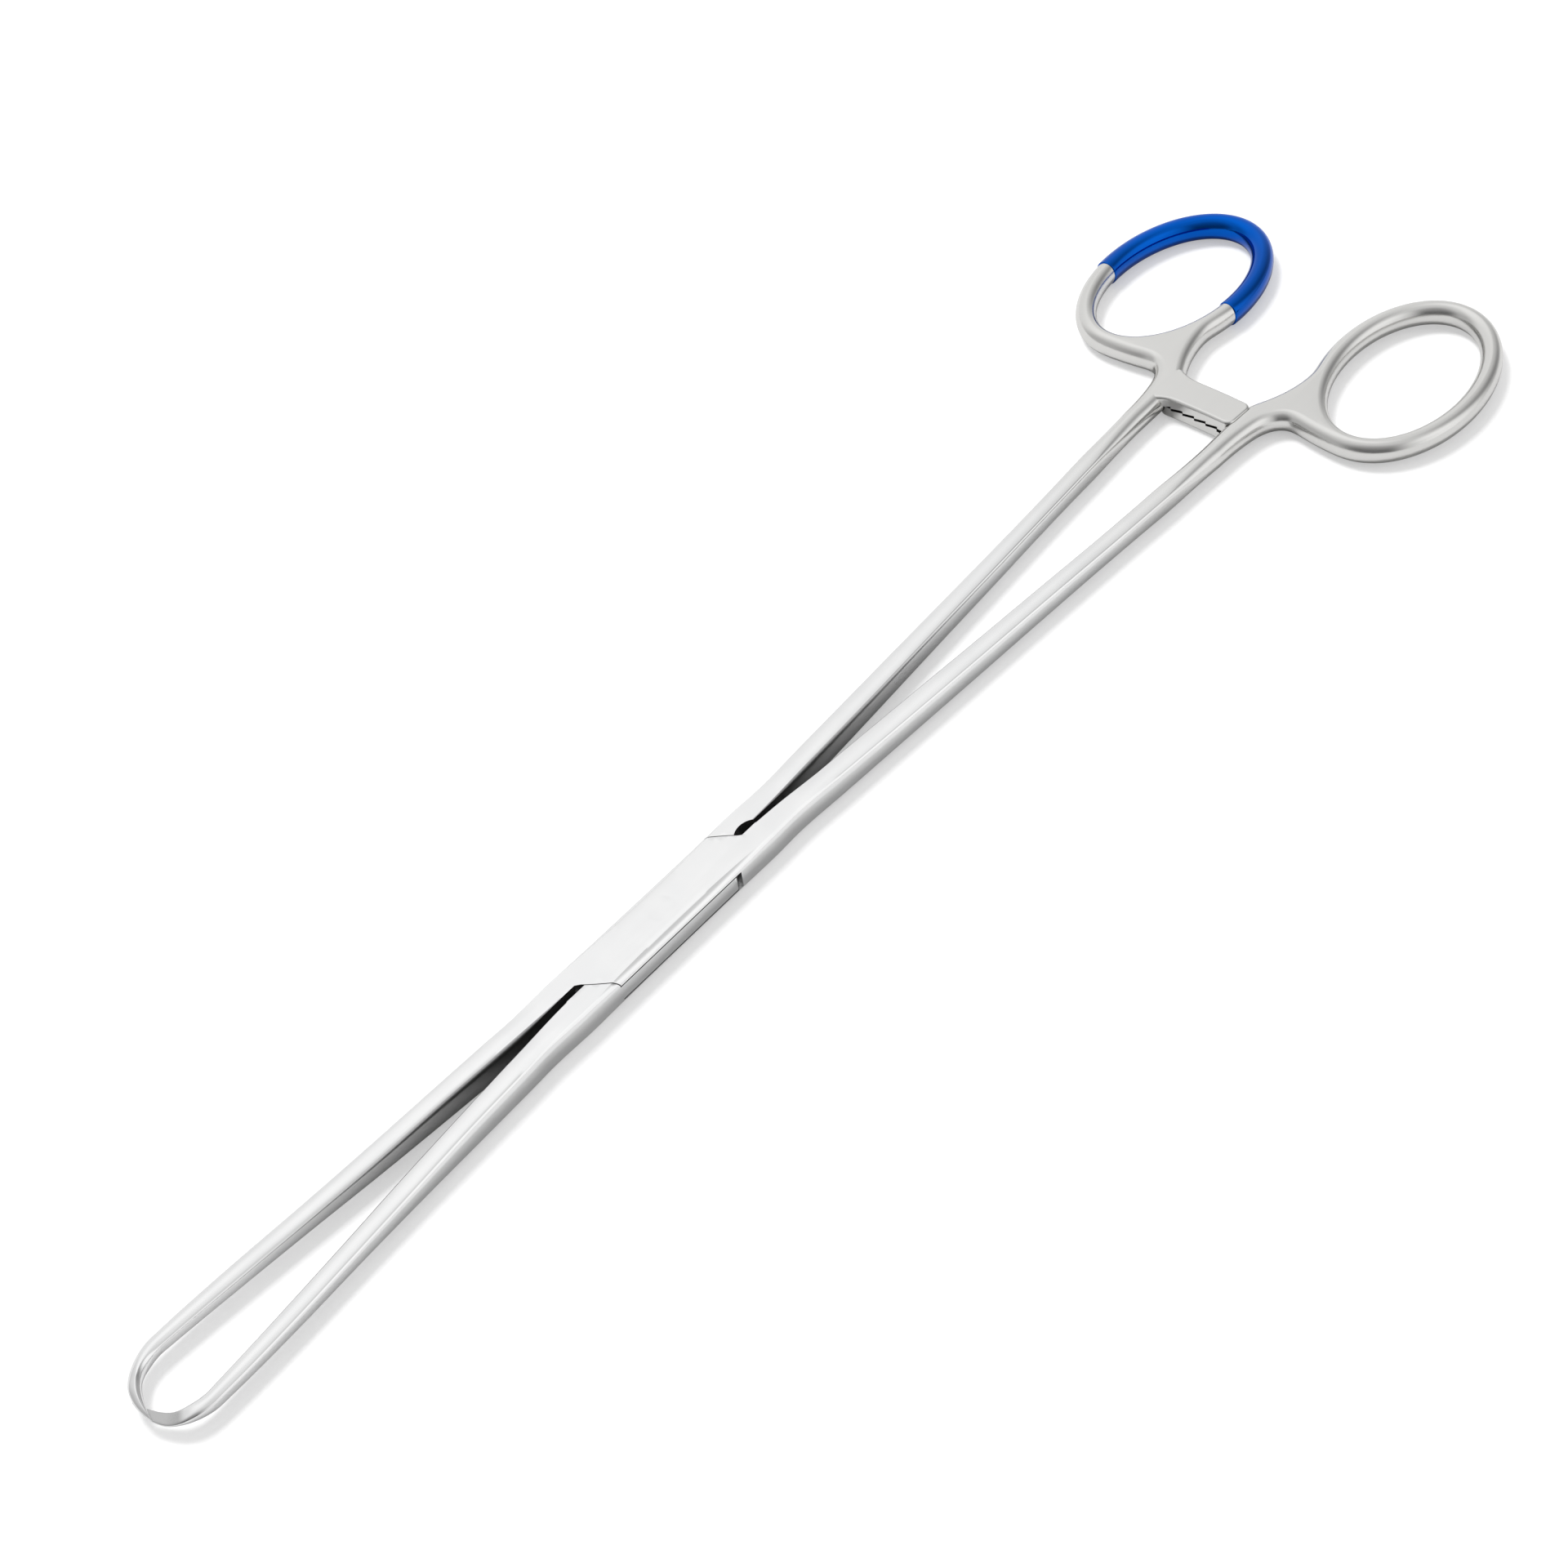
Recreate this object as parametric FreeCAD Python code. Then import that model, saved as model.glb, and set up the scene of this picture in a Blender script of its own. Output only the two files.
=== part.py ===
import FreeCAD, Part
import math
import os

# Single-tooth tenaculum forceps, closed, in millimetres.
# The origin is on the pivot axis at the flat underside of the box lock.
# +X runs to the jaw tips, +Z is up, and the whole instrument lies flat along X.

# Overall reach, measured from the pivot
jaw_reach = 87.2
handle_reach = 162.57

# Box lock
lock_width = 7.6
lock_height = 4.7
lock_half_length = 15.0
root_length = 3.0
lock_shoulder = 0.5
lock_shoulder_middle = 1.0
lock_shoulder_drop = 1.0
seam_start = 11.2
seam_middle = 13.3
seam_middle_side = 2.0
jaw_gap = 0.5
handle_gap = 0.3
relief_start = 14.3
relief_length = 3.9
relief_depth = 1.05
tongue_height = 2.46
tongue_setback = 0.4
tongue_corner = 10.1
slot_corner = 11.1

# Pivot pin, peened into countersinks and ground flush
pin_diameter = 3.2
pin_head_diameter = 4.2
pin_head_depth = 0.6

# Running clearances
pin_clearance = 0.03
slot_clearance = 0.05
seam_clearance = 0.05
hook_clearance = 0.1
tooth_clearance = 0.1
pocket_clearance = 0.15

# Jaws and single-tooth hooks
jaw_shoulder = 0.38
hook_length = 6.45
hook_width = 1.9
hook_height = 2.0
hook_offset = 5.35
hook_cross = 1.9
hook_point = 0.24
hook_back = 0.18
hook_shoulder = 0.68
thin_from = 0.08
thin_to = 0.53
sharpen_from = 0.6

# Shanks and necks
handle_height = 3.9
neck_length = 11.27
neck_inner = 5.45
neck_outer = 8.95
neck_chamfer = 0.6
shank_shoulder = 0.38

# Finger rings
ring_length = 35.3
ring_width = 22.2
ring_tilt = 2.9
ring_offset = 21.0
ring_wall = 3.35
ring_shoulder = 1.3

# Ratchet bars, as sectors about the pivot
ratchet_setback = 2.62
ratchet_width = 5.7
ratchet_reach = 6.6
ratchet_corner = 1.3
tooth_pitch = 2.15
tooth_depth = 0.38
tooth_ramp = 0.94
tooth_count = 5

# Plastic dip coat on one ring
coat_thickness = 0.15
coat_from_outer = 78
coat_from_inner = 88
coat_lip = 0.7

edge_radius = 0.4
root_shoulder = 0.1
overcut = 0.1
cut_margin = 0.7
shoulder_steps = 2
lock_steps = 8
bar_steps = 12
root_ease = 0.14
hook_steps = 12
ring_steps = 32
mid_height = lock_height / 2
half_lock = lock_width / 2
lock_end = lock_half_length + root_length
half_handle = handle_height / 2
ring_front = handle_reach - coat_thickness - ring_wall - ring_length
neck_front = ring_front - neck_length
ratchet_radius = ring_front - ratchet_setback


def vec(x, y, z=0.0):
    return FreeCAD.Vector(x, y, z)


def bar_section(place, across, inner, outer, half_height):
    """Closed wire of a flat-topped bar; inner and outer are (half width, shoulder width, drop)."""
    points = []
    for side, level in ((1, 1), (1, -1), (-1, -1), (-1, 1)):
        half_width, shoulder, drop = outer if side > 0 else inner
        quarter = []
        for step in range(shoulder_steps + 1):
            turn = math.pi / 2 * step / shoulder_steps
            out = half_width - shoulder + shoulder * math.sin(turn)
            up = half_height - drop + drop * math.cos(turn)
            quarter.append(place + across * (side * out) + vec(0, 0, level * up))
        if side * level < 0:
            quarter.reverse()
        points.extend(quarter)
    return Part.makePolygon(points + points[:1])


def smooth_loft(sections):
    return Part.makeLoft(sections, True, False)


def straight_loft(sections):
    return Part.makeLoft(sections, True, True)


def prism(wire, low, high):
    """Upright solid on a flat wire drawn at z = 0, between two levels."""
    face = Part.Face(wire)
    face.translate(vec(0, 0, low))
    return face.extrude(vec(0, 0, high - low))


def half_turn_about_x(shape):
    """The same forging turned over, on the other side of the centre line."""
    turned = shape.copy()
    turned.rotate(vec(0, 0, mid_height), vec(1, 0, 0), 180)
    return turned


def half_turn_about_z(shape):
    turned = shape.copy()
    turned.rotate(vec(0, 0, 0), vec(0, 0, 1), 180)
    return turned


def upper(shape_height):
    return mid_height + shape_height


def lock_envelope():
    """Outer form of the closed lock, its crests drawn in towards the pivot."""
    sections = []
    for step in range(lock_steps + 1):
        share = 2 * step / lock_steps - 1
        shoulder = lock_shoulder_middle + (lock_shoulder - lock_shoulder_middle) * share * share
        side = (half_lock, shoulder, lock_shoulder_drop)
        place = vec(share * lock_end, 0, mid_height)
        sections.append(bar_section(place, vec(0, 1, 0), side, side, mid_height))
    return straight_loft(sections)


def seam_wire(clearance, inner_end, wall):
    """Plan outline, at the jaw end, of what lies past the curved seam."""
    reach = lock_end + lock_width
    start = vec(seam_start + clearance, half_lock + 0.4)
    middle = vec(seam_middle + clearance, seam_middle_side)
    run = (lock_half_length - seam_middle) / seam_middle_side
    end = vec(seam_middle + run * (seam_middle_side - inner_end) + clearance, inner_end)
    corner = vec(end.x + abs(wall - inner_end) * 1.2, wall)
    edges = [Part.Arc(start, middle, end).toShape()]
    points = [end, corner, vec(reach, wall), vec(reach, lock_width), vec(start.x, lock_width), start]
    for first, second in zip(points, points[1:]):
        if first.distanceToPoint(second) > 1e-6:
            edges.append(Part.LineSegment(first, second).toShape())
    return Part.Wire(edges)


def past_seams(clearance, inner_ends, walls):
    """What lies past both seams; the second one is turned round to the handle end."""
    solids = [prism(seam_wire(clearance, end, wall), -1, lock_height + 1) for end, wall in zip(inner_ends, walls)]
    return solids[0].fuse(half_turn_about_z(solids[1]))


def box_lock():
    """Female member: two plates with a slot right through between them."""
    body = lock_envelope().cut(past_seams(0.0, (0.0, 0.0), (-jaw_gap, -handle_gap)))
    beyond = half_lock + cut_margin
    points = []
    for turn, gap in ((1, jaw_gap), (-1, handle_gap)):
        run = (lock_half_length + cut_margin - slot_corner) / (half_lock - gap)
        points.append(vec(turn * (slot_corner - cut_margin * run), -turn * beyond))
        points.append(vec(turn * (lock_half_length + cut_margin), -turn * gap))
        points.append(vec(turn * (lock_half_length + cut_margin), turn * beyond))
    half_slot = tongue_height / 2 + slot_clearance
    slot = prism(Part.makePolygon(points + points[:1]), upper(-half_slot), upper(half_slot))
    return body.cut(slot)


def lock_tongue():
    """Male member: the thin tongue that passes through the slot, with its shoulders."""
    gaps = (jaw_gap, handle_gap)
    shoulders = past_seams(seam_clearance, gaps, gaps)
    beyond = half_lock + cut_margin
    inner = lock_half_length - tongue_setback
    points = []
    for turn, gap in ((1, jaw_gap), (-1, handle_gap)):
        run = (inner - tongue_corner) / (half_lock + gap)
        points.append(vec(turn * (tongue_corner - cut_margin * run), -turn * beyond))
        points.append(vec(turn * inner, turn * gap))
        points.append(vec(turn * (lock_half_length + 1), turn * gap))
        points.append(vec(turn * (lock_half_length + 1), turn * beyond))
    tongue = prism(Part.makePolygon(points + points[:1]), upper(-tongue_height / 2), upper(tongue_height / 2))
    return lock_envelope().common(shoulders.fuse(tongue))


def shank_relief():
    """Hollow filed into the male shank's inner edge where it meets the box."""
    start = vec(-relief_start, -handle_gap)
    end = vec(-relief_start - relief_length, -handle_gap)
    deepest = vec((start.x + end.x) / 2, -relief_depth)
    edges = [
        Part.Arc(start, deepest, end).toShape(),
        Part.LineSegment(end, vec(end.x, 0)).toShape(),
        Part.LineSegment(vec(end.x, 0), vec(start.x, 0)).toShape(),
        Part.LineSegment(vec(start.x, 0), start).toShape(),
    ]
    return prism(Part.Wire(edges), -1, lock_height + 1)


def between_rows(rows, t):
    """Smooth values at t through rows of (t, value, value, ...)."""
    last = len(rows) - 1
    k = 0
    while k < last - 1 and rows[k + 1][0] < t:
        k += 1
    low, high = rows[k], rows[k + 1]
    span = high[0] - low[0]
    u = (t - low[0]) / span
    values = []
    for i in range(1, len(low)):
        start = end = (high[i] - low[i]) / span
        if k > 0:
            start = (high[i] - rows[k - 1][i]) / (high[0] - rows[k - 1][0])
        if k + 2 <= last:
            end = (rows[k + 2][i] - low[i]) / (rows[k + 2][0] - low[0])
        rise = (high[i] - low[i]) * u * u * (3 - 2 * u)
        values.append(low[i] + rise + span * (start * u * (1 - u) ** 2 - end * u * u * (1 - u)))
    return values


def bar_sections(direction, length, stations, end_row, shoulder):
    """Even sections from the lock outwards, up to the one before the far end."""
    gap = jaw_gap if direction > 0 else handle_gap
    root_row = (0.0, (half_lock + gap) / 2, half_lock - gap, lock_height)
    rows = [root_row, *stations, (1.0, *end_row)]
    sections = []
    for step in range(bar_steps):
        t = step / bar_steps
        offset, width, height = between_rows(rows, t)
        ease = min(1.0, t / root_ease)
        ease = ease * ease * (3 - 2 * ease)
        fall = height / 4
        outer_shoulder = lock_shoulder + (shoulder - lock_shoulder) * ease
        outer_drop = lock_shoulder_drop + (fall - lock_shoulder_drop) * ease
        inner_shoulder = root_shoulder + (shoulder - root_shoulder) * ease
        inner_drop = root_shoulder + (fall - root_shoulder) * ease
        inner = (width / 2, inner_shoulder, inner_drop)
        outer = (width / 2, outer_shoulder, outer_drop)
        place = vec(direction * (lock_end + t * length), offset, mid_height)
        sections.append(bar_section(place, vec(0, 1, 0), inner, outer, height / 2))
    return sections


def jaw():
    """Jaw on the +Y side, bending over into a hook that passes below the centre plane."""
    stations = (
        (0.1, 2.1, 3.1, 4.62),
        (0.16, 2.28, 3.12, 4.5),
        (0.32, 2.8, 2.9, 4.1),
        (0.48, 3.35, 2.8, 3.32),
        (0.64, 4.03, 2.56, 2.72),
        (0.8, 4.73, 2.38, 2.36),
        (0.92, 5.16, 2.14, 2.14),
    )
    length = jaw_reach - hook_back - hook_length - lock_end
    end_row = (hook_offset, hook_width, hook_height)
    sections = bar_sections(1, length, stations, end_row, jaw_shoulder)
    hook = hook_sections()
    return smooth_loft(sections + hook[:1]).fuse(straight_loft(hook))


def hook_curve():
    start = jaw_reach - hook_back - hook_length
    curve = Part.BezierCurve()
    curve.setPoles([
        vec(start, hook_offset, mid_height),
        vec(start + 0.66 * hook_length, hook_offset, mid_height),
        vec(start + 0.98 * hook_length, 0.5 * hook_offset, mid_height),
        vec(start + hook_length, -hook_cross, mid_height),
    ])
    return curve


def hook_section(curve, t):
    """The hook thins to less than half height so that the two can cross."""
    thin = min(1.0, max(0.0, (t - thin_from) / (thin_to - thin_from)))
    thin = thin * thin * (3 - 2 * thin)
    taper = 1 - (1 - hook_point / hook_width) * t ** 2
    inner_level = hook_height / 2 - (hook_height + hook_clearance) / 2 * thin
    outer_level = -hook_height / 2
    sharpen = max(0.0, (t - sharpen_from) / (1 - sharpen_from)) ** 1.5
    thick = (inner_level - outer_level) * (1 - 0.75 * sharpen)
    place = curve.value(t) + vec(0, 0, inner_level - thick / 2)
    shoulder = jaw_shoulder + (hook_shoulder - jaw_shoulder) * thin
    side = (hook_width / 2 * taper, shoulder * taper, thick * (0.25 + 0.2 * thin))
    tangent = curve.tangent(t)[0]
    return bar_section(place, vec(-tangent.y, tangent.x), side, side, thick / 2)


def hook_sections():
    curve = hook_curve()
    return [hook_section(curve, step / hook_steps) for step in range(hook_steps + 1)]


def shank():
    stations = (
        (0.06, 2.08, 3.24, 4.56),
        (0.14, 2.52, 3.3, 4.3),
        (0.29, 3.34, 3.26, 3.9),
        (0.44, 4.18, 3.1, 3.66),
        (0.6, 5.04, 2.94, 3.44),
        (0.76, 5.96, 2.84, 3.28),
        (0.9, 6.72, 3.0, 3.56),
    )
    half = (neck_outer - neck_inner) / 2
    end_row = (neck_inner + half, 2 * half, handle_height)
    sections = bar_sections(-1, neck_front - lock_end, stations, end_row, shank_shoulder)
    side = (half, edge_radius, edge_radius)
    place = vec(-neck_front, neck_inner + half, mid_height)
    sections.append(bar_section(place, vec(0, 1, 0), side, side, half_handle))
    return smooth_loft(sections)


def ring_centre():
    far = handle_reach - coat_thickness - ring_wall / 2 - ring_length / 2
    return vec(-far, ring_offset, mid_height)


def ring_place(angle):
    """Point on the ring's centre line and the outward direction there."""
    turn = math.radians(angle)
    x = ring_length / 2 * math.cos(turn)
    y = ring_width / 2 * math.sin(turn)
    out = vec(math.cos(turn) / ring_length, math.sin(turn) / ring_width).normalize()
    rotation = FreeCAD.Rotation(vec(0, 0, 1), ring_tilt)
    return ring_centre() + rotation.multVec(vec(x, y)), rotation.multVec(out)


def ring_section(angle, skin=0.0):
    place, out = ring_place(angle)
    side = (ring_wall / 2 + skin, ring_shoulder + skin, ring_shoulder + skin)
    return bar_section(place, out, side, side, half_handle + skin)


def ring_run(start, end, steps, skin=0.0):
    span = end - start
    return [ring_section(start + span * step / steps, skin) for step in range(steps + 1)]


def ring():
    half = ring_steps // 2
    return straight_loft(ring_run(0, 180, half)).fuse(straight_loft(ring_run(180, 360, half)))


def neck_plate():
    """Flat plate between the shank, the ratchet bar and the ring."""
    centre = ring_centre()
    half_length = ring_length / 2
    half_width = ring_width / 2
    foot = vec(centre.x + 0.35 * half_length, centre.y - 0.97 * half_width)
    front = vec(centre.x + 0.98 * half_length, centre.y - 0.3 * ring_wall)
    low = vec(-ring_front, neck_inner)
    sag = vec(-ring_front - 0.3 * neck_length, neck_inner + 0.17 * neck_length)
    toe = vec(foot.x, foot.y - 0.42 * ring_wall)
    heel = vec(foot.x - 0.24 * ring_wall, foot.y + 0.3 * ring_wall)
    hole = vec(centre.x + 0.8 * half_length, centre.y - 0.7 * half_width)
    hole_end = vec(front.x - 0.3 * ring_wall, front.y)
    face = vec(front.x + 0.42 * ring_wall, front.y)
    throat = vec(-ring_front - 0.1 * neck_length, neck_outer + 0.28 * neck_length)
    brow = vec(-ring_front + 0.2 * neck_length, neck_outer + 0.085 * neck_length)
    shoulder = vec(-neck_front, neck_outer)
    face_middle = vec(face.x - 0.1 * ring_wall, (face.y + throat.y) / 2)
    throat_middle = vec((throat.x + brow.x) / 2 + 0.02 * neck_length, throat.y - 0.14 * neck_length)
    brow_middle = vec(-neck_front - 0.4 * neck_length, neck_outer + 0.022 * neck_length)
    edges = [
        Part.LineSegment(vec(-neck_front, neck_inner), low),
        Part.Arc(low, sag, toe),
        Part.LineSegment(toe, heel),
        Part.Arc(heel, hole, hole_end),
        Part.LineSegment(hole_end, face),
        Part.Arc(face, face_middle, throat),
        Part.Arc(throat, throat_middle, brow),
        Part.Arc(brow, brow_middle, shoulder),
        Part.LineSegment(shoulder, vec(-neck_front, neck_inner)),
    ]
    wire = Part.Wire([edge.toShape() for edge in edges])
    plate = prism(wire, upper(-half_handle), upper(half_handle))
    for near in (sag, edges[5].value(0.5), hole):
        plate = ease_edges(plate, near)
    return plate


def ease_edges(plate, near):
    """Chamfer the top and bottom edges whose arc runs closest to a plan point."""
    picked = []
    for level in (upper(-half_handle), upper(half_handle)):
        point = Part.Vertex(vec(near.x, near.y, level))
        picked.append(min(plate.Edges, key=lambda edge: edge.distToShape(point)[0]))
    return plate.makeChamfer(neck_chamfer, picked)


def sector(inner_radius, outer_radius, from_y, to_y, low, high):
    """Part of a flat ring about the pivot, on the handle side, between two y levels."""
    mean = (inner_radius + outer_radius) / 2
    first = math.asin(from_y / mean)
    last = math.asin(to_y / mean)

    def at(radius, turn):
        return vec(-radius * math.cos(turn), radius * math.sin(turn))

    middle = (first + last) / 2
    edges = [
        Part.Arc(at(outer_radius, first), at(outer_radius, middle), at(outer_radius, last)),
        Part.LineSegment(at(outer_radius, last), at(inner_radius, last)),
        Part.Arc(at(inner_radius, last), at(inner_radius, middle), at(inner_radius, first)),
        Part.LineSegment(at(inner_radius, first), at(outer_radius, first)),
    ]
    return prism(Part.Wire([edge.toShape() for edge in edges]), low, high)


def upright_edges(solid, y_level):
    found = []
    for edge in solid.Edges:
        box = edge.BoundBox
        if box.ZLength > 0.5 and abs(box.YMin - y_level) < 0.5 and box.YLength < 0.01:
            found.append(edge)
    return found


def ratchet_bar():
    """Lower bar, reaching from the neck across to the other half, with sawtooth teeth on top."""
    inner = ratchet_radius - ratchet_width / 2
    outer = ratchet_radius + ratchet_width / 2
    low = upper(-half_handle)
    high = upper(-tooth_clearance / 2)
    bar = sector(inner, outer, -ratchet_reach, neck_inner + 1.5, low, high)
    bar = bar.makeFillet(ratchet_corner, upright_edges(bar, -ratchet_reach))
    for number in range(tooth_count):
        bar = bar.cut(tooth_groove(number, high))
    return bar


def tooth_groove(number, crest):
    """Sawtooth gullet: one steep face and one long ramp, on a radius from the pivot."""
    place = (number - (tooth_count - 1) / 2) * tooth_pitch
    far = -ratchet_radius - ratchet_width
    ramp = tooth_ramp * tooth_pitch
    ramp_end = ramp * (1 + overcut / tooth_depth)
    root = vec(far, 0, crest - tooth_depth)
    steep_end = vec(far, -overcut / 5, crest + overcut)
    profile = Part.makePolygon([steep_end, root, vec(far, ramp_end, crest + overcut), steep_end])
    groove = Part.Face(profile).extrude(vec(2 * ratchet_width, 0, 0))
    groove.rotate(vec(0, 0, 0), vec(0, 0, 1), -math.degrees(place / ratchet_radius))
    return groove


def ratchet_pocket():
    """Recess in the upper half of the neck that takes the end of the other half's bar."""
    inner = ratchet_radius - ratchet_width / 2 - pocket_clearance
    outer = ratchet_radius + ratchet_width / 2 + pocket_clearance
    low = upper(-tooth_clearance / 2)
    end = ratchet_reach + pocket_clearance
    pocket = sector(inner, outer, neck_inner - 3, end, low, upper(half_handle + 1))
    return pocket.makeFillet(ratchet_corner, upright_edges(pocket, end))


def handle():
    """Shank, neck, ratchet bar and finger ring of the +Y half."""
    body = shank().fuse([neck_plate(), ring(), ratchet_bar()])
    return body.cut(ratchet_pocket())


def pin_seat():
    """Hole and countersinks the rivet fills in the two outer plates of the box."""
    radius = pin_diameter / 2
    head = pin_head_diameter / 2
    body = Part.makeCylinder(radius, lock_height)
    lower_head = Part.makeCone(head, radius, pin_head_depth)
    upper_head = Part.makeCone(radius, head, pin_head_depth)
    upper_head.translate(vec(0, 0, lock_height - pin_head_depth))
    return body.fuse([lower_head, upper_head]).removeSplitter()


def female_half():
    body = box_lock().fuse([handle(), half_turn_about_x(jaw())])
    return body.cut(pin_seat()).removeSplitter()


def male_half():
    hole = Part.makeCylinder(pin_diameter / 2 + pin_clearance, lock_height + 2)
    hole.translate(vec(0, 0, -1))
    body = lock_tongue().fuse([half_turn_about_x(handle()), jaw()])
    return body.cut([hole, shank_relief()]).removeSplitter()


def coat_lip_run(angle, direction):
    """Rounded end of the dipped coat, thinning to nothing over a short length."""
    sections = []
    for share in (0.0, 0.4, 0.75, 1.0):
        skin = coat_thickness * math.sqrt(1 - 0.9 * share * share)
        sections.append(ring_section(angle + direction * coat_lip * share, skin))
    return straight_loft(sections)


def ring_coating():
    first = coat_from_outer
    last = 360 - coat_from_inner
    coat = straight_loft(ring_run(first, last, ring_steps, coat_thickness))
    coat = coat.fuse([coat_lip_run(first, -1), coat_lip_run(last, 1)])
    bore = straight_loft(ring_run(0, 180, ring_steps // 2))
    bore = bore.fuse(straight_loft(ring_run(180, 360, ring_steps // 2)))
    return half_turn_about_x(coat.cut(bore))


def only_solid(shape):
    solids = sorted(shape.Solids, key=lambda solid: solid.Volume)
    return solids[-1]


os.makedirs("parts", exist_ok=True)
for node, shape in (
    ("female_half", female_half()),
    ("male_half", male_half()),
    ("pivot_pin", pin_seat()),
    ("ring_coating", ring_coating()),
):
    only_solid(shape).exportStep("parts/" + node + ".step")
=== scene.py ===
import math

import bmesh
import bpy
from mathutils import Matrix, Vector
from mathutils.geometry import tessellate_polygon


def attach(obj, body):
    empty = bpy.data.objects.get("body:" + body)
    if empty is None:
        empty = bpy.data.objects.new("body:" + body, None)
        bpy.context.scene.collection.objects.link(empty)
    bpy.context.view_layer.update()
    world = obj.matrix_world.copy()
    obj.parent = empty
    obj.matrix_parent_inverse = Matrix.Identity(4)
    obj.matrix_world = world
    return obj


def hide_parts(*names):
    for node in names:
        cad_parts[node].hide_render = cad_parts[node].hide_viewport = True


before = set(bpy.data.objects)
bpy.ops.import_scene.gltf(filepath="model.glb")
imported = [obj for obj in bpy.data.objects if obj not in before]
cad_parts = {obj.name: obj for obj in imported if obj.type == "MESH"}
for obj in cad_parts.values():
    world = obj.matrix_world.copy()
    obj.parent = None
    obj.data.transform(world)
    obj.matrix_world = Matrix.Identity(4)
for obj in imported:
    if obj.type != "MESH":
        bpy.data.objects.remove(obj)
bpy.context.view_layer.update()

# Single-tooth tenaculum forceps. Lengths below are in millimetres and turn into metres
# when a mesh is made. The pivot axis is x = y = 0 and the underside of the lock is z = 0.

MM = 0.001

# Lock
LOCK_HALF_WIDTH = 3.8
LOCK_HALF_HEIGHT = 2.35
MID = LOCK_HALF_HEIGHT
LOCK_END = 18.0
LOCK_SHOULDER_MIDDLE = 1.0
LOCK_SHOULDER_END = 0.5
JAW_GAP = 0.5
HANDLE_GAP = 0.3
RELIEF_START = 14.3
RELIEF_LENGTH = 3.9
RELIEF_DEPTH = 1.05
SEAM_START = 11.2
SEAM_MIDDLE = (13.3, 2.0)
SEAM_REACH = 15.0
SEAM_CLEARANCE = 0.17
TONGUE_HALF = 1.23
SLOT_HALF = 1.42
SLOT_CORNER = 11.1
TONGUE_CORNER = 10.1
TONGUE_SETBACK = 0.4
OVERCUT = 0.7
RIVET_RADIUS = 1.6
RIVET_HEAD_RADIUS = 2.1
RIVET_HEAD_DEPTH = 0.6
RIVET_CLEARANCE = 0.03

# Bars: crest rounding, and the share of a bar over which it grows out of the lock
CROWN = 0.12
BAR_SHOULDER = 0.38
LOCK_DROP = 1.0
INNER_EDGE = 0.1
ROOT_EASE = 0.14
ROUND_FROM = 0.86

# Jaws and hooks
JAW_REACH = 87.2
HOOK_BACK = 0.18
HOOK_LENGTH = 6.45
HOOK_WIDTH = 1.9
HOOK_HEIGHT = 2.0
HOOK_OFFSET = 5.35
HOOK_CROSS = 1.9
HOOK_POINT = 0.1
HOOK_CLEARANCE = 0.1
HOOK_TAPER = 3.2
THIN_FROM, THIN_LENGTH = 0.18, 0.42
GROUND_FROM, GROUND_LENGTH = 0.05, 0.4
RIDGE_SHARES = (0.62, 1.32)

# Handles
HANDLE_HALF = 1.95
NECK_FRONT = 112.5
NECK_INNER = 5.45
NECK_OUTER = 8.95
NECK_EDGE = 1.62
NECK_LENGTH = 11.27
NECK_SAG, NECK_THROAT, NECK_BROW = (3.4, 1.9), (1.2, 3.2), (2.2, 0.95)
RING_TOE, RING_FACE = 290, -4
EDGE_LINE = 0.01
LINE_STEP = 0.35
RING_LENGTH = 35.3
RING_WIDTH = 22.2
RING_TILT = math.radians(2.9)
RING_OFFSET = 21.0
RING_WALL = 3.35
RING_FAR = 162.57
COAT = 0.15
COAT_FROM_OUTER = math.radians(78)
COAT_FROM_INNER = math.radians(88)
COAT_LIP = math.radians(0.7)

# Ratchet
RATCHET_RADIUS = 121.15
RATCHET_WIDTH = 5.7
RATCHET_REACH = 6.6
RATCHET_CORNER = 1.3
RATCHET_EDGE = 0.5
RATCHET_FLARE, FLARE_LENGTH = 0.42, 2.2
RATCHET_GAP = 0.1
POCKET_CLEARANCE = 0.15
TOOTH_PITCH = 2.15
TOOTH_DEPTH = 0.38
TOOTH_RAMP = 0.94
TOOTH_FIRST = -2
TOOTH_LAST = 2

HOOK_START = JAW_REACH - HOOK_BACK - HOOK_LENGTH

# station from the lock end (0) to the hook or neck (1): offset, width, height
JAW_STATIONS = (
    (0.1, 2.1, 3.1, 4.62),
    (0.16, 2.28, 3.12, 4.5),
    (0.32, 2.8, 2.9, 4.1),
    (0.48, 3.35, 2.8, 3.32),
    (0.64, 4.03, 2.56, 2.72),
    (0.8, 4.73, 2.38, 2.36),
    (0.92, 5.16, 2.14, 2.14),
)
SHANK_STATIONS = (
    (0.06, 2.08, 3.24, 4.56),
    (0.14, 2.52, 3.3, 4.3),
    (0.29, 3.34, 3.26, 3.9),
    (0.44, 4.18, 3.1, 3.66),
    (0.6, 5.04, 2.94, 3.44),
    (0.76, 5.96, 2.84, 3.28),
    (0.9, 6.72, 3.0, 3.56),
)


# ---- meshes ----

def new_piece(name, points, faces):
    mesh = bpy.data.meshes.new(name)
    mesh.from_pydata([Vector(p) * MM for p in points], [], faces)
    form = bmesh.new()
    form.from_mesh(mesh)
    bmesh.ops.remove_doubles(form, verts=form.verts, dist=1e-7)
    bmesh.ops.recalc_face_normals(form, faces=form.faces)
    form.to_mesh(mesh)
    form.free()
    piece = bpy.data.objects.new(name, mesh)
    bpy.context.scene.collection.objects.link(piece)
    return piece


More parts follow.
